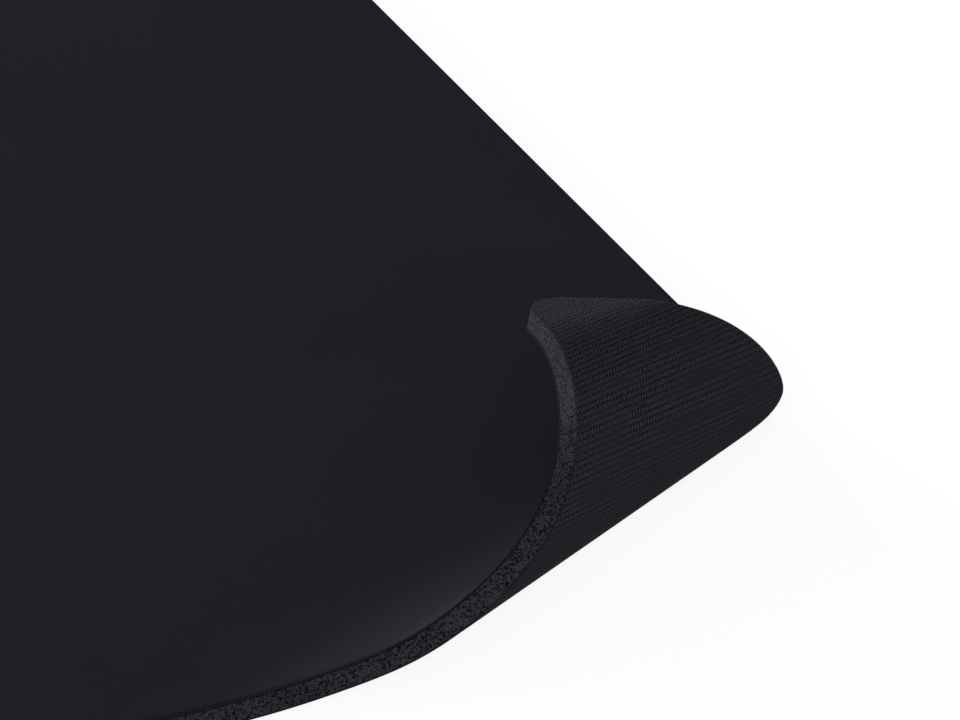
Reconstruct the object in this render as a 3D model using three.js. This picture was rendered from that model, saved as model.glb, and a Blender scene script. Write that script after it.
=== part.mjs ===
// A large cloth mouse pad with its front right corner rolled up and over.
// Woven cloth is glued by a thin film to sponge rubber, whose underside is a dense grip skin.
// The four layers are cut through together, so they share one outline and one set of fold lines.
// The pad lies on z = 0 with its cloth up, its long side along x and its front edge at negative y.
import * as THREE from "three";

// The cut sheet, in millimetres
const padLength = 460;
const padWidth = 400;
const cornerRadius = 9;

// The layers, from the desk up
const gripThickness = 0.4;
const spongeThickness = 3.9;
const filmThickness = 0.15;
const clothThickness = 0.55;

// Where the first fold line meets the front edge and the right edge, measured from the rolled corner,
// and how far past the corner's rounding the last one meets them
const rollFrontStart = 138;
const rollSideStart = 78;
const tipFrontLand = 10;
const tipSideLand = 16;

// The gentle lift before the roll: how far out along the front edge it begins, its whole angle and its
// number of fold lines, which lie parallel to the roll's first one
const liftReach = 52;
const liftTurn = THREE.MathUtils.degToRad(4.5);
const liftCount = 8;

// How the roll turns: its whole angle, its number of fold lines, and the share of the way along the
// front edge, of the way along the right edge and of the turn that the roll has come at its start, a
// quarter, half and three quarters of the way through the fold lines, and at its end
const rollTurn = THREE.MathUtils.degToRad(177);
const rollCount = 40;
const frontShares = [0, 0.15, 0.43, 0.75, 1];
const sideShares = [0, 0.05, 0.14, 0.6, 1];
const turnShares = [0, 0.14, 0.35, 0.76, 1];

// Steps in each rounded corner of the outline
const cornerSteps = 10;

// The surfaces between the layers, as heights over the desk where the pad lies flat
const gripTop = gripThickness;
const spongeTop = gripTop + spongeThickness;
const filmTop = spongeTop + filmThickness;
const clothTop = filmTop + clothThickness;
// The sheet bends about its middle, so the cloth is squeezed and the skin is stretched
const bendHeight = clothTop / 2;

const right = padLength / 2;
const left = -right;
const back = padWidth / 2;
const front = -back;

// The fold lines

// A smooth curve through shares at even steps
function curveThrough(shares) {
  const knots = shares.map((share, i) => new THREE.Vector2(i / (shares.length - 1), share));
  const curve = new THREE.SplineCurve(knots);
  return (through) => curve.getPoint(through).y;
}

const frontDone = curveThrough(frontShares);
const sideDone = curveThrough(sideShares);
const turnDone = curveThrough(turnShares);

// A fold line runs from the front edge to the right edge, and turns the sheet beyond it by an angle
function foldLine(alongFront, alongSide, turn) {
  const atFront = new THREE.Vector2(right - alongFront, front);
  const atSide = new THREE.Vector2(right, front + alongSide);
  return { atFront, atSide, turn };
}

// The lift's lines turn more and more, so the flat sheet passes smoothly into the roll
function liftLine(i) {
  const reach = 1 + ((liftReach / rollFrontStart) * (liftCount - i)) / liftCount;
  const turn = (liftTurn * (2 * i + 1)) / liftCount ** 2;
  return foldLine(rollFrontStart * reach, rollSideStart * reach, turn);
}

// The roll's lines fan out: at first they move along the front edge and hardly along the right edge, so
// the roll is a cone and not a plain tube
function rollLine(i) {
  const through = i / (rollCount - 1);
  const frontEnd = cornerRadius + tipFrontLand;
  const sideEnd = cornerRadius + tipSideLand;
  const alongFront = rollFrontStart + (frontEnd - rollFrontStart) * frontDone(through);
  const alongSide = rollSideStart + (sideEnd - rollSideStart) * sideDone(through);
  const turn = rollTurn * (turnDone((i + 1) / rollCount) - turnDone(i / rollCount));
  return foldLine(alongFront, alongSide, turn);
}

// The turn by an angle about a fold line of the flat sheet, which lifts the corner side of the line
function turnAbout(line, angle) {
  const anchor = new THREE.Vector3(line.atFront.x, line.atFront.y, bendHeight);
  const axis = new THREE.Vector3(line.atFront.x - line.atSide.x, line.atFront.y - line.atSide.y, 0);
  axis.normalize();
  const turn = new THREE.Matrix4().makeTranslation(anchor.x, anchor.y, anchor.z);
  turn.multiply(new THREE.Matrix4().makeRotationAxis(axis, angle));
  turn.multiply(new THREE.Matrix4().makeTranslation(-anchor.x, -anchor.y, -anchor.z));
  return turn;
}

// A setting carries points of the flat sheet to the rolled one. Points on a fold line are set halfway
// through its turn and stand taller by the mitre, so both facets beside the line keep their thickness.
const lines = [];
for (let i = 0; i < liftCount; i += 1) lines.push(liftLine(i));
for (let i = 0; i < rollCount; i += 1) lines.push(rollLine(i));
const folds = [];
let rolled = new THREE.Matrix4();
for (const line of lines) {
  const halfway = rolled.clone().multiply(turnAbout(line, line.turn / 2));
  folds.push({ line, setting: { matrix: halfway, stretch: 1 / Math.cos(line.turn / 2) } });
  rolled = rolled.clone().multiply(turnAbout(line, line.turn));
}
const flatSetting = { matrix: new THREE.Matrix4(), stretch: 1 };
const tipSetting = { matrix: rolled, stretch: 1 };

// The sheet's outline and its triangles, as seen from above

// The points of one rounded corner, counterclockwise from the given angle
function corner(centreX, centreY, startAngle) {
  const points = [];
  for (let i = 0; i <= cornerSteps; i += 1) {
    const angle = startAngle + ((Math.PI / 2) * i) / cornerSteps;
    const x = centreX + cornerRadius * Math.cos(angle);
    const y = centreY + cornerRadius * Math.sin(angle);
    points.push(new THREE.Vector2(x, y));
  }
  return points;
}

const stations = [];

// Adds points that share a setting, and gives back their numbers
function place(points, setting) {
  return points.map((point) => stations.push({ point, setting }) - 1);
}

const frontEnds = folds.map((fold) => place([fold.line.atFront], fold.setting)[0]);
const sideEnds = folds.map((fold) => place([fold.line.atSide], fold.setting)[0]);
const backRight = corner(right - cornerRadius, back - cornerRadius, 0);
const backLeft = corner(left + cornerRadius, back - cornerRadius, Math.PI / 2);
const frontLeft = corner(left + cornerRadius, front + cornerRadius, Math.PI);
const frontRight = corner(right - cornerRadius, front + cornerRadius, -Math.PI / 2);
const flatBorder = place([...backRight, ...backLeft, ...frontLeft], flatSetting);
const tipBorder = place(frontRight, tipSetting);

const lastFold = folds.length - 1;
const flatRegion = [sideEnds[0], ...flatBorder, frontEnds[0]];
const tipRegion = [frontEnds[lastFold], ...tipBorder, sideEnds[lastFold]];
const outline = [...flatBorder, ...frontEnds, ...tipBorder, ...sideEnds.slice().reverse()];

// Splits one flat region into triangles
function triangulate(region) {
  const points = region.map((station) => stations[station].point);
  const faces = THREE.ShapeUtils.triangulateShape(points, []);
  return faces.map((face) => face.map((index) => region[index]));
}

const triangles = [...triangulate(flatRegion), ...triangulate(tipRegion)];
for (let i = 0; i < lastFold; i += 1) {
  triangles.push([frontEnds[i], frontEnds[i + 1], sideEnds[i + 1]]);
  triangles.push([frontEnds[i], sideEnds[i + 1], sideEnds[i]]);
}

// The layers

// Where a station lies in the rolled sheet, on the surface that has this height in the flat one
function settle(station, height) {
  const { point, setting } = station;
  const above = bendHeight + (height - bendHeight) * setting.stretch;
  return new THREE.Vector3(point.x, point.y, above).applyMatrix4(setting.matrix);
}

// One layer of the laminate, between two heights, closed by its cut edge
function layer(name, lower, upper, material) {
  const positions = [];
  for (const station of stations) positions.push(...settle(station, lower).toArray());
  for (const station of stations) positions.push(...settle(station, upper).toArray());
  const over = stations.length;
  const faces = [];
  for (const [a, b, c] of triangles) {
    faces.push(a + over, b + over, c + over);
    faces.push(a, c, b);
  }
  outline.forEach((a, i) => {
    const b = outline[(i + 1) % outline.length];
    faces.push(a, b, b + over);
    faces.push(a, b + over, a + over);
  });
  const geometry = new THREE.BufferGeometry();
  geometry.setAttribute("position", new THREE.Float32BufferAttribute(positions, 3));
  geometry.setIndex(faces);
  geometry.computeVertexNormals();
  const mesh = new THREE.Mesh(geometry, material);
  mesh.name = name;
  return mesh;
}

function gripSkin() {
  const rubber = new THREE.MeshStandardMaterial({ color: 0x232227, roughness: 0.62, metalness: 0 });
  return layer("grip_skin", 0, gripTop, rubber);
}

function spongeCore() {
  const sponge = new THREE.MeshStandardMaterial({ color: 0x2d2d32, roughness: 0.9, metalness: 0 });
  return layer("sponge_rubber_core", gripTop, spongeTop, sponge);
}

function bondingFilm() {
  const adhesive = new THREE.MeshStandardMaterial({ color: 0x0b0b0d, roughness: 0.5, metalness: 0 });
  return layer("bonding_film", spongeTop, filmTop, adhesive);
}

function clothSurface() {
  const cloth = new THREE.MeshStandardMaterial({ color: 0x212025, roughness: 0.95, metalness: 0 });
  return layer("cloth_surface", filmTop, clothTop, cloth);
}

const pad = new THREE.Group();
pad.add(gripSkin(), spongeCore(), bondingFilm(), clothSurface());
export default pad;
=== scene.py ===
# A large cloth mouse pad of sponge rubber, lying flat with its front right corner rolled up and over.
import math

import bpy
import numpy as np
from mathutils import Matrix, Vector


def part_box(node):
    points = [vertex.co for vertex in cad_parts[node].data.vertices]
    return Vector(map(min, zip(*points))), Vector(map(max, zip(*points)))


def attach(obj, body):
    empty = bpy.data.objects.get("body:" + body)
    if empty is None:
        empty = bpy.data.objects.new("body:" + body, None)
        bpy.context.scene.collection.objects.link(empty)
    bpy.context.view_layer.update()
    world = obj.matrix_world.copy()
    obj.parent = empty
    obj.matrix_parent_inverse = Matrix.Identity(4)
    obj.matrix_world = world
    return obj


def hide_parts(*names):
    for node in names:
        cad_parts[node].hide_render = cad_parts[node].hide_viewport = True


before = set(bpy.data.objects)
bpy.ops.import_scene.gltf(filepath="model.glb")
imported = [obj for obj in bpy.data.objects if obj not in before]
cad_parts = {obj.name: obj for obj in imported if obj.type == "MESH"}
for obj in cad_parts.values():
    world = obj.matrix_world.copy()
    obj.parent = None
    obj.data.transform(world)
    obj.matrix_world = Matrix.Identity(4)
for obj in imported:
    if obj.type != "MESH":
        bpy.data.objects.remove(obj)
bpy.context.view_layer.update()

MM = 0.001

# The cut sheet, from the frame
sheet_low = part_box("cloth_surface")[0]
LEFT, FRONT = sheet_low.x, sheet_low.y
LENGTH, WIDTH = 460 * MM, 400 * MM
RIGHT, BACK = LEFT + LENGTH, FRONT + WIDTH
CORNER_RADIUS = 9 * MM

# The surfaces between the layers, as heights over the desk where the pad lies flat
GRIP_TOP = 0.4 * MM
SPONGE_TOP = GRIP_TOP + 3.9 * MM
FILM_TOP = SPONGE_TOP + 0.15 * MM
CLOTH_TOP = FILM_TOP + 0.55 * MM
# The sheet bends about its middle
BEND_HEIGHT = CLOTH_TOP / 2

# The roll: where its first fold line meets the edges, measured from the rolled corner, how far past the
# corner's rounding its last one meets them, its whole turn, and the share of each that it has come at its
# start, a quarter, half and three quarters of the way through the fold lines, and at its end
ROLL_FRONT_START = 138 * MM
ROLL_SIDE_START = 78 * MM
TIP_FRONT_LAND = 10 * MM
TIP_SIDE_LAND = 16 * MM
ROLL_TURN = math.radians(177)
FRONT_SHARES = [0, 0.15, 0.43, 0.75, 1]
SIDE_SHARES = [0, 0.05, 0.14, 0.6, 1]
TURN_SHARES = [0, 0.14, 0.35, 0.76, 1]
ROLL_COUNT = 40

# The gentle lift before the roll: how far out along the front edge it begins, and its whole angle
LIFT_REACH = 52 * MM
LIFT_TURN = math.radians(4.5)
LIFT_COUNT = 8

# Each fold line of the solid model is spread over this many finer ones here
FINER = 4
FOLDS = (LIFT_COUNT + ROLL_COUNT) * FINER

# The sheet begins to bend a little before the roll's first line and bends less just after it. The turn is
# spread over neighbouring lines, by at most EASE along the front edge, and less with each EASE_REACH away
# from the first line. As much is held back about HELD_AT past it, so the sheet beyond stays where it is.
EASE = 20 * MM
EASE_REACH = 40 * MM
HELD_AT = 17 * MM
HELD_REACH = 13 * MM

# Along the rolled part of the front edge, where the cloth is squeezed and the rubber stretched, the cut
# face leans out at its cloth side. It turns about the share LEAN_PIVOT of the thickness. The lean reaches
# as far as LEAN_END from the corner, and dies away into the sheet.
LEAN = 0.74 * MM
LEAN_PIVOT = 0.3
LEAN_END = 129 * MM
LEAN_FADE = 6 * MM
LEAN_DEPTH = 4 * MM

# Near the right edge the first fold lines crowd together, and the soft sheet spreads that bend along
# the edge: each point there goes to the mean of the places of its neighbours. A spread of less than
# SPREAD_LEAST is left out.
SPREAD = 6.6 * MM
SPREAD_AT = 74 * MM
SPREAD_LENGTH = 20 * MM
SPREAD_DEPTH = 6 * MM
SPREAD_LEAST = 0.02 * MM

# A soft mean over neighbours: how far off they are, in spreads, and their weights
BLUR_STEPS = np.linspace(-2, 2, 9)
BLUR_SHARES = np.exp(-BLUR_STEPS**2 / 2) / np.exp(-BLUR_STEPS**2 / 2).sum()


# The camera, which stands where the photograph was taken from

CAMERA_TURN = math.radians(23.15)
CAMERA_RISE = math.radians(26.969)
CAMERA_DISTANCE = 1.6667
CAMERA_AIM = Vector((0.18467, -0.07518, 0))
CAMERA_LENS = 296.31


def make_camera():
    forward = Vector((math.sin(CAMERA_TURN) * math.cos(CAMERA_RISE),
                      math.cos(CAMERA_TURN) * math.cos(CAMERA_RISE),
                      -math.sin(CAMERA_RISE)))
    data = bpy.data.cameras.new("camera")
    data.lens = CAMERA_LENS
    camera = bpy.data.objects.new("camera", data)
    bpy.context.collection.objects.link(camera)
    camera.location = CAMERA_AIM - forward * CAMERA_DISTANCE
    camera.rotation_mode = "QUATERNION"
    camera.rotation_quaternion = forward.to_track_quat("-Z", "Y")
    data.clip_start, data.clip_end = 0.1, 100
    bpy.context.scene.camera = camera


make_camera()


# The fold lines

def smooth_curve(knots, before, after, at):
    """A smooth curve through knots at whole steps, with one more knot on each side of them to lead it."""
    padded = np.array([before, *knots, after, after])
    i = at.astype(int)
    w = at - i
    start, here, beyond, last = (padded[i + step] for step in range(4))
    leave, arrive = (beyond - start) / 2, (last - here) / 2
    cubic = 2 * here - 2 * beyond + leave + arrive
    square = -3 * here + 3 * beyond - 2 * leave - arrive
    return cubic * w**3 + square * w**2 + leave * w + here


def curve_through(shares, through):
    """The share reached at each place from 0 to 1, on a smooth curve through shares at even steps."""
    return smooth_curve(shares, shares[0], shares[-1], np.asarray(through) * (len(shares) - 1))


def led_curve(knots, at):
    """A smooth curve through knots at whole steps, led straight past both ends."""
    return smooth_curve(knots, 2 * knots[0] - knots[1], 2 * knots[-1] - knots[-2], at)


def bounds_between(places):
    """The middles between neighbouring places, and one more place past each end."""
    between = (places[1:] + places[:-1]) / 2
    return np.array([2 * places[0] - between[0], *between, 2 * places[-1] - between[-1]])


def running_total(turns):
    """How far the sheet has turned before each line and after the last."""
    return np.array([0, *np.cumsum(turns)])


def lift_lines():
    """How far along the front and the right edge each line of the lift meets them, and how far it turns."""
    step = np.arange(LIFT_COUNT)
    reach = 1 + LIFT_REACH / ROLL_FRONT_START * (LIFT_COUNT - step) / LIFT_COUNT
    return ROLL_FRONT_START * reach, ROLL_SIDE_START * reach, LIFT_TURN * (2 * step + 1) / LIFT_COUNT**2


def roll_lines():
    """The same for the lines of the roll."""
    through = np.linspace(0, 1, ROLL_COUNT)
    front_end, side_end = CORNER_RADIUS + TIP_FRONT_LAND, CORNER_RADIUS + TIP_SIDE_LAND
    along_front = ROLL_FRONT_START + (front_end - ROLL_FRONT_START) * curve_through(FRONT_SHARES, through)
    along_side = ROLL_SIDE_START + (side_end - ROLL_SIDE_START) * curve_through(SIDE_SHARES, through)
    turned = ROLL_TURN * curve_through(TURN_SHARES, np.linspace(0, 1, ROLL_COUNT + 1))
    return along_front, along_side, np.diff(turned)


def finer_lines(along_front, along_side, turns):
    """Finer lines, whose smooth sheet touches each facet of the solid model in its middle."""
    ends = np.linspace(0, len(turns), FOLDS + 1)
    at = (ends[1:] + ends[:-1]) / 2
    finer_front = led_curve(bounds_between(along_front), at)
    finer_side = led_curve(bounds_between(along_side), at)
    return finer_front, finer_side, np.diff(led_curve(running_total(turns), ends))


def eased_turns(along_front, turns):
    """The turns of the finer lines, with a gentler start of the roll."""
    past_start = ROLL_FRONT_START - bounds_between(along_front)
    turned = running_total(turns)
    spread = EASE * np.exp(-(past_start / EASE_REACH) ** 2)
    eased = sum(share * np.interp(past_start + step * spread, past_start, turned)
                for share, step in zip(BLUR_SHARES, BLUR_STEPS))
    held = np.exp(-((past_start - HELD_AT) / HELD_REACH) ** 2)
    widths = np.gradient(past_start)
    return np.diff(eased - held * ((eased - turned) @ widths) / (held @ widths))


model_lines = [np.concatenate(pair) for pair in zip(lift_lines(), roll_lines())]
FOLD_FRONT, FOLD_SIDE, plain_turns = finer_lines(*model_lines)
FOLD_TURNS = eased_turns(FOLD_FRONT, plain_turns)


# The rolled sheet

def turn_about(anchor, axis, angle):
    """A 3 x 4 matrix that turns points about a line."""
    x, y, z = axis
    cross = np.array([[0, -z, y], [z, 0, -x], [-y, x, 0]])
    kept = (1 - math.cos(angle)) * np.outer(axis, axis)
    turn = np.eye(3) * math.cos(angle) + math.sin(angle) * cross + kept
    return np.column_stack([turn, anchor - turn @ anchor])


def within(outer, inner):
    """The move that makes the inner one in the space that the outer one has moved."""
    turn = outer[:, :3] @ inner[:, :3]
    return np.column_stack([turn, outer[:, :3] @ inner[:, 3] + outer[:, 3]])


def facet_moves():
    """How each facet between the fold lines is moved, from the flat part to the tip."""
    moves = [np.eye(3, 4)]
    for at_front, at_side, angle in zip(FOLD_FRONT, FOLD_SIDE, FOLD_TURNS):
        anchor = np.array([RIGHT - at_front, FRONT, BEND_HEIGHT])
        axis = np.array([-at_front, -at_side, 0])
        moves.append(within(moves[-1], turn_about(anchor, axis / np.linalg.norm(axis), angle)))
    return np.array(moves)


FACET_MOVES = facet_moves()


def facets_at(x, y):
    """For points of the flat sheet: the facet, the nearest other one, and how far to blend towards it."""
    past = (RIGHT - x)[:, None] / FOLD_FRONT + (y - FRONT)[:, None] / FOLD_SIDE - 1
    facet = (past < 0).sum(1)
    rows = np.arange(len(x))
    low = past[rows, np.clip(facet - 1, 0, FOLDS - 1)]
    high = past[rows, np.clip(facet, 0, FOLDS - 1)]
    inside = (facet > 0) & (facet < FOLDS)
    share = np.where(inside, -low / np.where(inside, high - low, 1), 0.5)
    near = np.clip(np.where(share < 0.5, facet - 1, facet + 1), 0, FOLDS)
    return facet, near, np.abs(share - 0.5)


def carried(x, y, height, facets):
    """Where the roll carries points of the flat sheet."""
    facet, near, weight = facets
    flat = np.stack([x, y, height, np.ones(len(x))], 1)
    here = np.einsum("nij,nj->ni", FACET_MOVES[facet], flat)
    there = np.einsum("nij,nj->ni", FACET_MOVES[near], flat)
    return here + (there - here) * weight[:, None]


class Sheet:
    """Points of the flat sheet, and where the roll carries them at any height in the laminate."""

    def __init__(self, x, y):
        self.x, self.y = x, y
        self.facets = facets_at(x, y)
        across, along = RIGHT - x, y - FRONT
        self.lean = LEAN / (1 + np.exp((across - LEAN_END) / LEAN_FADE)) * np.exp(-along / LEAN_DEPTH)
        spread = SPREAD * np.exp(-across / SPREAD_DEPTH - ((along - SPREAD_AT) / SPREAD_LENGTH) ** 2)
        self.soft = np.flatnonzero(spread > SPREAD_LEAST)
        self.soft_y = [y[self.soft] + step * spread[self.soft] for step in BLUR_STEPS]
        self.soft_facets = [facets_at(x[self.soft], near_y) for near_y in self.soft_y]

    def at(self, height):
        height = np.broadcast_to(height, self.x.shape)
        leaning = self.y - self.lean * (height / CLOTH_TOP - LEAN_PIVOT)
        points = carried(self.x, leaning, height, self.facets)
        x, z = self.x[self.soft], height[self.soft]
        points[self.soft] = sum(share * carried(x, y, z, facets) for share, y, facets
                                in zip(BLUR_SHARES, self.soft_y, self.soft_facets))
        return points


# The grid of the flat sheet, close together over the roll, along the cut edge and in the round corners

ROLL_STEP_X = 1.5 * MM
ROLL_STEP_Y = 1.0 * MM
LIFT_STEP = 3 * MM
FLAT_STEP = 10 * MM
RIM_STEPS = [0, 0.12 * MM, 0.35 * MM, 0.8 * MM]
ROUNDING_STEPS = 8
# The even steps keep this far from the cut edge, where the rim and the round corners have their own
EVEN_MARGIN = 1.05 * CORNER_RADIUS


def grid_lines(stretches):
    """Places through stretches, each given as its start, its end and the step between its lines."""
    low, high = stretches[0][0], stretches[-1][1]
    even = [np.linspace(start, end, round((end - start) / step) + 1)[1:] for start, end, step in stretches]
    kept = [place for place in np.concatenate(even) if min(place - low, high - place) > EVEN_MARGIN]
    edge = np.array([*RIM_STEPS[:-1], *np.linspace(RIM_STEPS[-1], CORNER_RADIUS, ROUNDING_STEPS)])
    return np.concatenate([low + edge, kept, high - edge[::-1]])


def rounded(x, y):
    """Draws the square corners of the grid in to round ones."""
    cx = np.clip(x, LEFT + CORNER_RADIUS, RIGHT - CORNER_RADIUS)
    cy = np.clip(y, FRONT + CORNER_RADIUS, BACK - CORNER_RADIUS)
    dx, dy = x - cx, y - cy
    reach = np.hypot(dx, dy)
    scale = np.where(reach > 0, np.maximum(abs(dx), abs(dy)) / np.where(reach > 0, reach, 1), 1)
    return cx + dx * scale, cy + dy * scale


lift_x, roll_x = RIGHT - FOLD_FRONT[0], RIGHT - ROLL_FRONT_START
roll_y, lift_y = FRONT + ROLL_SIDE_START, FRONT + FOLD_SIDE[0]
x_lines = grid_lines([(LEFT, lift_x, FLAT_STEP), (lift_x, roll_x, LIFT_STEP), (roll_x, RIGHT, ROLL_STEP_X)])
y_lines = grid_lines([(FRONT, roll_y, ROLL_STEP_Y), (roll_y, lift_y, LIFT_STEP), (lift_y, BACK, FLAT_STEP)])
grid_y, grid_x = np.meshgrid(y_lines, x_lines, indexing="ij")
SHEET = Sheet(*rounded(grid_x.ravel(), grid_y.ravel()))
# How far each grid point is from the cut edge
RIM = np.minimum.reduce([grid_x - LEFT, RIGHT - grid_x, grid_y - FRONT, BACK - grid_y]).ravel()

# The grid's faces, and its border, both counterclockwise from above
numbers = np.arange(len(RIM)).reshape(grid_x.shape)
QUADS = np.stack([numbers[:-1, :-1], numbers[:-1, 1:], numbers[1:, 1:], numbers[1:, :-1]], -1).reshape(-1, 4)
BORDER = np.concatenate([numbers[0], numbers[1:, -1], numbers[-1, -2::-1], numbers[-2:0:-1, 0]])


# The meshes

# Edges that turn by more than this stay sharp
SHARP_ANGLE = math.radians(40)


def mesh_piece(name, points, faces, flat_places, materials, cut_from):
    """A smooth mesh with sharp edges. Faces from the one numbered cut_from on take the last material."""
    mesh = bpy.data.meshes.new(name)
    mesh.from_pydata(points.tolist(), [], faces.tolist())
    mesh.update()
    layer = mesh.uv_layers.new(name="flat_sheet")
    corners = np.zeros(len(mesh.loops), np.int32)
    mesh.loops.foreach_get("vertex_index", corners)
    layer.uv.foreach_set("vector", flat_places[corners].astype(np.float32).ravel())
    for material in materials:
        mesh.materials.append(material)
    kinds = np.zeros(len(faces), np.int32)
    kinds[cut_from:] = len(materials) - 1
    mesh.polygons.foreach_set("material_index", kinds)
    mesh.shade_smooth()
    mesh.set_sharp_from_angle(angle=SHARP_ANGLE)
    piece = bpy.data.objects.new(name, mesh)
    bpy.context.collection.objects.link(piece)
    return piece


def laminate(name, lower, upper, band_rows, *materials):
    """A closed layer between two heights, given as numbers or for each grid point. Its cut edge is
    band_rows faces high, and takes the second material if there is one."""
    low = np.broadcast_to(lower, RIM.shape)
    high = np.broadcast_to(upper, RIM.shape)
    points = [SHEET.at(low), SHEET.at(high)]
    places = [np.stack([SHEET.x, SHEET.y], 1)] * 2
    faces = [QUADS[:, ::-1], QUADS + len(RIM)]
    rim = Sheet(SHEET.x[BORDER], SHEET.y[BORDER])
    loops = [BORDER]
    for row in range(1, band_rows):
        points.append(rim.at(low[BORDER] + (high[BORDER] - low[BORDER]) * row / band_rows))
        places.append(np.stack([rim.x, rim.y], 1))
        loops.append(2 * len(RIM) + (row - 1) * len(BORDER) + np.arange(len(BORDER)))
    loops.append(BORDER + len(RIM))
    for under, over in zip(loops, loops[1:]):
        faces.append(np.stack([under, np.roll(under, -1), np.roll(over, -1), over], 1))
    return mesh_piece(name, np.concatenate(points), np.concatenate(faces), np.concatenate(places),
                      materials, 2 * len(QUADS))


# Nodes

def new_material(name):
    material = bpy.data.materials.new(name)
    material.use_nodes = True
    tree = material.node_tree
    return material, tree, tree.nodes["Principled BSDF"]


def connect(tree, socket, value):
    """Links a socket to another one, or sets it to a plain value."""
    if isinstance(value, bpy.types.NodeSocket):
        tree.links.new(value, socket)
    else:
        socket.default_value = value


def node(tree, kind, inputs=(), **settings):
    made = tree.nodes.new(kind)
    for key, value in settings.items():
        setattr(made, key, value)
    for key, value in dict(inputs).items():
        connect(tree, made.inputs[key], value)
    return made


def maths(tree, operation, *values):
    made = tree.nodes.new("ShaderNodeMath")
    made.operation = operation
    for socket, value in zip(made.inputs, values):
        connect(tree, socket, value)
    return made.outputs[0]


def either(tree, which, one, other):
    """One value where which is 1, and the other where it is 0."""
    return maths(tree, "ADD", maths(tree, "MULTIPLY", one, which),
                 maths(tree, "MULTIPLY", other, maths(tree, "SUBTRACT", 1.0, which)))


def ramp(tree, value, start, end, first=0.0, last=1.0):
    """From the first number to the last while the value goes from start to end, and held past them."""
    return node(tree, "ShaderNodeMapRange", {"Value": value, "From Min": start, "From Max": end,
                                             "To Min": first, "To Max": last}).outputs[0]


def noise(tree, place, scale, detail=2.0, roughness=0.5):
    return node(tree, "ShaderNodeTexNoise", {"Vector": place, "Scale": scale, "Detail": detail,
                                             "Roughness": roughness}).outputs[0]


def cells(tree, place, scale):
    """How far it is to the middle of the nearest of many cells."""
    return node(tree, "ShaderNodeTexVoronoi", {"Vector": place, "Scale": scale}).outputs["Distance"]


def wave(tree, place, length):
    return maths(tree, "SINE", maths(tree, "MULTIPLY", place, 2 * math.pi / length))


def ridges(tree, place, pitch):
    """Round ridges, from 0 to 1, with one every pitch."""
    return maths(tree, "MULTIPLY_ADD", wave(tree, place, pitch), 0.5, 0.5)


def combined(tree, x, y):
    return node(tree, "ShaderNodeCombineXYZ", {"X": x, "Y": y}).outputs[0]


def flat_place(tree):
    """The place on the flat sheet, in millimetres, as separate x and y."""
    place = node(tree, "ShaderNodeUVMap", uv_map="flat_sheet")
    parts = node(tree, "ShaderNodeSeparateXYZ", {"Vector": place.outputs[0]})
    return (maths(tree, "MULTIPLY", parts.outputs["X"], 1 / MM),
            maths(tree, "MULTIPLY", parts.outputs["Y"], 1 / MM))


def solid_place(tree):
    """The place in the object, in metres."""
    return node(tree, "ShaderNodeTexCoord").outputs["Object"]


def srgb(r, g, b):
    def linear(c):
        c /= 255
        return c / 12.92 if c <= 0.04045 else ((c + 0.055) / 1.055) ** 2.4
    return (linear(r), linear(g), linear(b), 1)


def blend_colour(tree, factor, dark, light):
    made = node(tree, "ShaderNodeMix", {"Factor": factor}, data_type="RGBA")
    colours = [socket for socket in made.inputs if socket.type == "RGBA"]
    connect(tree, colours[0], dark)
    connect(tree, colours[1], light)
    return [socket for socket in made.outputs if socket.type == "RGBA"][0]


def dress(tree, shader, colour, roughness, specular):
    connect(tree, shader.inputs["Base Color"], colour)
    shader.inputs["Roughness"].default_value = roughness
    shader.inputs["Specular IOR Level"].default_value = specular


def add_bump(tree, shader, height, depth, strength):
    bump = node(tree, "ShaderNodeBump", {"Strength": strength, "Distance": depth, "Height": height})
    tree.links.new(bump.outputs[0], shader.inputs["Normal"])


# Materials. Patterns on the flat sheet are in millimetres, and those in the solid are in metres.

def cloth_material():
    """Fine plain weave, worn smooth, with a grain of fibres and faint large patches."""
    material, tree, shader = new_material("woven_cloth")
    x, y = flat_place(tree)
    thread = 0.42
    crossing = maths(tree, "MULTIPLY", wave(tree, x, 2 * thread), wave(tree, y, 2 * thread))
    warp_over = maths(tree, "GREATER_THAN", crossing, 0.0)
    weave = either(tree, warp_over, ridges(tree, x, thread), ridges(tree, y, thread))
    flat = combined(tree, x, y)
    fibres = noise(tree, flat, scale=2.2, detail=3.0)
    patches = noise(tree, flat, scale=0.02)
    fibre_share, weave_share, patch_share = 0.4, 0.3, 0.3
    tone = maths(tree, "ADD", maths(tree, "MULTIPLY", fibres, fibre_share),
                 maths(tree, "ADD", maths(tree, "MULTIPLY", weave, weave_share),
                       maths(tree, "MULTIPLY", patches, patch_share)))
    colour = blend_colour(tree, tone, srgb(22, 21, 26), srgb(39, 38, 44))
    dress(tree, shader, colour, roughness=0.9, specular=0.01)
    fibre_height = 1.2
    height = maths(tree, "ADD", weave, maths(tree, "MULTIPLY", fibres, fibre_height))
    add_bump(tree, shader, height, depth=0.06 * MM, strength=0.5)
    return material


def cloth_cut_material():
    """The ends of the threads, where the blade has cut the cloth."""
    material, tree, shader = new_material("woven_cloth_cut")
    ends = noise(tree, solid_place(tree), scale=1600.0)
    colour = blend_colour(tree, ends, srgb(13, 13, 16), srgb(39, 38, 43))
    dress(tree, shader, colour, roughness=0.9, specular=0.01)
    return material


def film_material():
    """Dark glue, slightly uneven."""
    material, tree, shader = new_material("adhesive_film")
    grain = noise(tree, solid_place(tree), scale=900.0)
    colour = blend_colour(tree, grain, srgb(6, 6, 9), srgb(14, 14, 17))
    dress(tree, shader, colour, roughness=0.7, specular=0.003)
    return material


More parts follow.
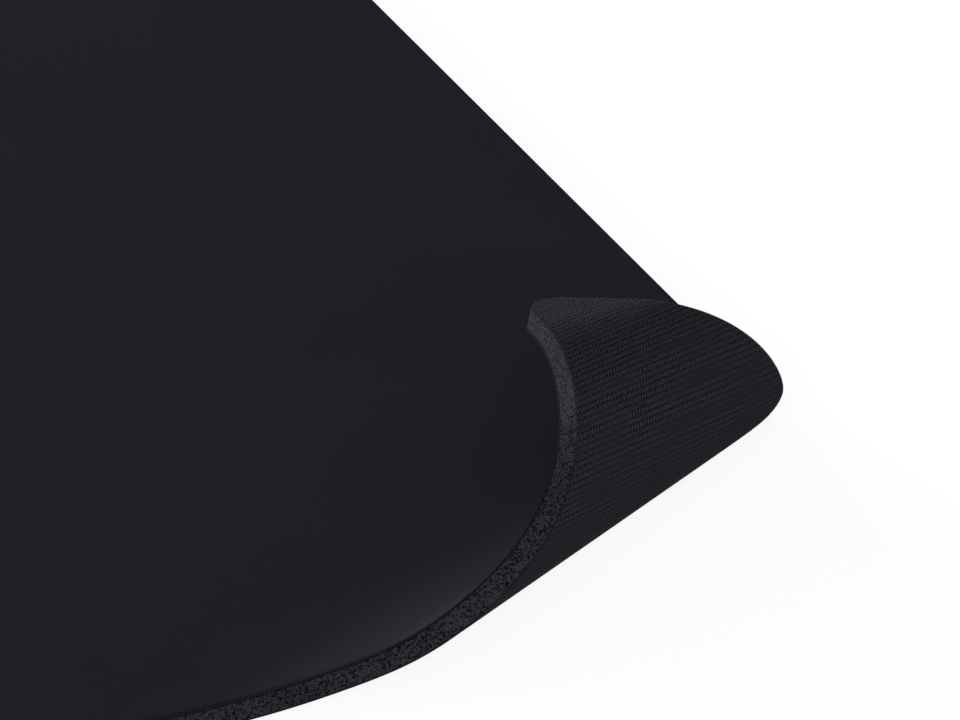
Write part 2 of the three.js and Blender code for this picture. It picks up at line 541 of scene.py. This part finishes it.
def sponge_material():
    """Sponge rubber cut open: a grey web with fine pores and larger round ones, painted near black as painted
    shade inside the holes.
    """
    material, tree, shader = new_material("sponge_rubber")
    place = solid_place(tree)
    cell_share, cloud_share = 0.4, 0.25
    fine = maths(tree, "MULTIPLY_ADD", cells(tree, place, 2800.0), cell_share,
                 noise(tree, place, scale=1800.0, roughness=0.6))
    uneven = maths(tree, "MULTIPLY_ADD", noise(tree, place, scale=160.0), cloud_share, fine)
    web = ramp(tree, uneven, 0.6, 0.94)
    round_pores = ramp(tree, cells(tree, place, 1300.0), 0.22, 0.34)
    open_web = maths(tree, "MULTIPLY", web, round_pores)
    # Painted shade: the pores take the near-black colour, for the shade inside the holes, and the web takes
    # the grey.
    colour = blend_colour(tree, open_web, srgb(6, 6, 9), srgb(54, 53, 59))
    dress(tree, shader, colour, roughness=0.9, specular=0.02)
    add_bump(tree, shader, open_web, depth=0.2 * MM, strength=0.7)
    return material


def grip_material():
    """Dense rubber, embossed with a fine herringbone of short strokes whose rows run along the diagonal."""
    material, tree, shader = new_material("grip_rubber")
    x, y = flat_place(tree)
    row = 1.1
    # Places across and along the rows, counted in rows
    across = maths(tree, "DIVIDE", maths(tree, "SUBTRACT", x, y), row * math.sqrt(2))
    along = maths(tree, "DIVIDE", maths(tree, "ADD", x, y), row * math.sqrt(2))
    # The strokes lie along x in one row and along y in the next, and end between the rows
    pitch = row * math.sqrt(2) / 2
    odd = maths(tree, "GREATER_THAN", maths(tree, "FRACT", maths(tree, "MULTIPLY", across, 0.5)), 0.5)
    rows = maths(tree, "POWER", maths(tree, "ABSOLUTE", wave(tree, across, 2)), 0.5)
    strokes = maths(tree, "MULTIPLY", either(tree, odd, ridges(tree, x, pitch), ridges(tree, y, pitch)), rows)
    # The press has left stripes of crisper and fainter strokes along the rows
    long_step, short_step = 0.05, 0.4
    stripe_place = combined(tree, maths(tree, "MULTIPLY", along, long_step),
                            maths(tree, "MULTIPLY", across, short_step))
    stripes = noise(tree, stripe_place, scale=1.0)
    # Up to the first of these distances from the rolled corner the strokes are crisper and lighter, and past
    # the second they are fainter. Near the corner, at the top of the roll, this is partly painted highlight,
    # for light glinting on the strokes there. A millimetre along x counts half as much here as one along y.
    crisp_to, faint_from = 20, 48
    corner = (FRONT - RIGHT / 2) / MM
    near = ramp(tree, maths(tree, "MULTIPLY_ADD", x, -0.5, y), corner + crisp_to, corner + faint_from,
                first=0.15, last=-0.1)
    crispness = ramp(tree, maths(tree, "ADD", stripes, near), 0.36, 0.62, first=0.05, last=1.2)
    speck = maths(tree, "SUBTRACT", noise(tree, combined(tree, x, y), scale=2.4), 0.5)
    stroke_share, speck_share, gap_tone = 1.1, 1.4, 0.16
    # Painted highlight and shade: in the colour the raised strokes are lighter and the gaps between them
    # darker, as light and shade fall on the emboss. In the bump they give the emboss its shape.
    relief = maths(tree, "SUBTRACT", maths(tree, "POWER", strokes, 1.5), gap_tone)
    specks = maths(tree, "MULTIPLY", speck, speck_share)
    marks = maths(tree, "MULTIPLY", crispness, maths(tree, "MULTIPLY_ADD", relief, stroke_share, specks))
    # A painted highlight: the grip is lighter towards its right edge, over its last half millimetre, for the
    # thin light line where light glances off the roll's top edge
    edge_glint_from, edge_glint_full = 0.45, 0.15
    edge_glint = ramp(tree, x, RIGHT / MM - edge_glint_from, RIGHT / MM - edge_glint_full, last=0.5)
    plain_tone, faint_speck, faint_rows = 0.25, 0.3, 0.12
    # Painted shade also darkens the colour where the strokes end between the rows.
    tone = maths(tree, "ADD", maths(tree, "MULTIPLY_ADD", speck, faint_speck, plain_tone),
                 maths(tree, "ADD", maths(tree, "MULTIPLY_ADD", rows, faint_rows, marks), edge_glint))
    colour = blend_colour(tree, tone, srgb(8, 8, 12), srgb(66, 65, 72))
    dress(tree, shader, colour, roughness=0.85, specular=0.01)
    height = maths(tree, "MULTIPLY_ADD", speck, faint_speck, marks)
    add_bump(tree, shader, height, depth=0.2 * MM, strength=1.0)
    return material


def grip_cut_material():
    """The same dense rubber where the blade has cut it smooth."""
    material, tree, shader = new_material("grip_rubber_cut")
    grain = noise(tree, solid_place(tree), scale=700.0)
    colour = blend_colour(tree, grain, srgb(20, 20, 23), srgb(38, 37, 42))
    dress(tree, shader, colour, roughness=0.7, specular=0.003)
    return material


# The layers

# The blade presses the cloth down at its cut edge, by this much, over the width of the rim steps
PRESS = 0.18 * MM
press = np.clip(1 - RIM / RIM_STEPS[-1], 0, 1) ** 2 * PRESS

grip = laminate("grip_underside", 0.0, GRIP_TOP, 2, grip_material(), grip_cut_material())
sponge = laminate("sponge_sheet", GRIP_TOP, SPONGE_TOP, 8, sponge_material())
film = laminate("film_sheet", SPONGE_TOP, FILM_TOP, 1, film_material())
cloth = laminate("cloth_top", FILM_TOP, CLOTH_TOP - press, 3, cloth_material(), cloth_cut_material())

for piece, slot, replaced in ((grip, "grip_skin", "grip_skin"),
                              (sponge, "sponge_rubber", "sponge_rubber_core"),
                              (film, "bonding_film", "bonding_film"),
                              (cloth, "cloth", "cloth_surface")):
    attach(piece, "root")
    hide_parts(replaced)


# The floor and the light

FLOOR_LEVEL = -0.05 * MM
FLOOR_REACH = 12.0
FLOOR_GREY = 0.8
# The floor is seen as white by a glow of this strength, mixed in by this share. The rest keeps the shadow.
FLOOR_GLOW = 1.12
FLOOR_GLOW_SHARE = 0.8
# How strongly the sky lights the object. It is seen as white.
SKY_LIGHT = 0.25
LAMPS_AIM = (0.1, -0.1, 0)


def seen_directly(tree):
    """1 for rays from the camera and for those that a mirror or glass sends on, and 0 for others."""
    path = tree.nodes.new("ShaderNodeLightPath")
    seen = maths(tree, "MAXIMUM", path.outputs["Is Camera Ray"], path.outputs["Is Glossy Ray"])
    return maths(tree, "MAXIMUM", seen, path.outputs["Is Transmission Ray"])


def floor_material():
    material, tree, shader = new_material("floor_white")
    dress(tree, shader, (FLOOR_GREY, FLOOR_GREY, FLOOR_GREY, 1), roughness=0.9, specular=0.0)
    glow = node(tree, "ShaderNodeEmission", {"Color": (1, 1, 1, 1), "Strength": FLOOR_GLOW})
    share = maths(tree, "MULTIPLY", seen_directly(tree), FLOOR_GLOW_SHARE)
    blend = node(tree, "ShaderNodeMixShader", {0: share, 1: shader.outputs[0], 2: glow.outputs[0]})
    tree.links.new(blend.outputs[0], tree.nodes["Material Output"].inputs["Surface"])
    return material


def make_floor():
    mesh = bpy.data.meshes.new("floor")
    corners = [(x * FLOOR_REACH, y * FLOOR_REACH, FLOOR_LEVEL)
               for x, y in ((-1, -1), (1, -1), (1, 1), (-1, 1))]
    mesh.from_pydata(corners, [], [(0, 1, 2, 3)])
    floor = bpy.data.objects.new("floor", mesh)
    bpy.context.collection.objects.link(floor)
    mesh.materials.append(floor_material())


def make_world():
    world = bpy.data.worlds.new("studio")
    world.use_nodes = True
    tree = world.node_tree
    background = tree.nodes["Background"]
    background.inputs["Color"].default_value = (1, 1, 1, 1)
    strength = maths(tree, "MULTIPLY_ADD", seen_directly(tree), 1 - SKY_LIGHT, SKY_LIGHT)
    tree.links.new(strength, background.inputs["Strength"])
    bpy.context.scene.world = world


def make_lamp(name, place, size, power):
    data = bpy.data.lights.new(name, "AREA")
    data.shape = "RECTANGLE"
    data.size, data.size_y = size
    data.energy = power
    lamp = bpy.data.objects.new(name, data)
    bpy.context.collection.objects.link(lamp)
    lamp.location = place
    lamp.rotation_mode = "QUATERNION"
    lamp.rotation_quaternion = (Vector(LAMPS_AIM) - Vector(place)).to_track_quat("-Z", "Y")


make_floor()
make_world()
make_lamp("key", place=(-0.61, 2.39, 0.39), size=(2.0, 0.5), power=118)
make_lamp("fill", place=(-0.47, -1.88, 1.03), size=(1.6, 0.8), power=27)
bpy.context.scene.view_settings.view_transform = "Standard"
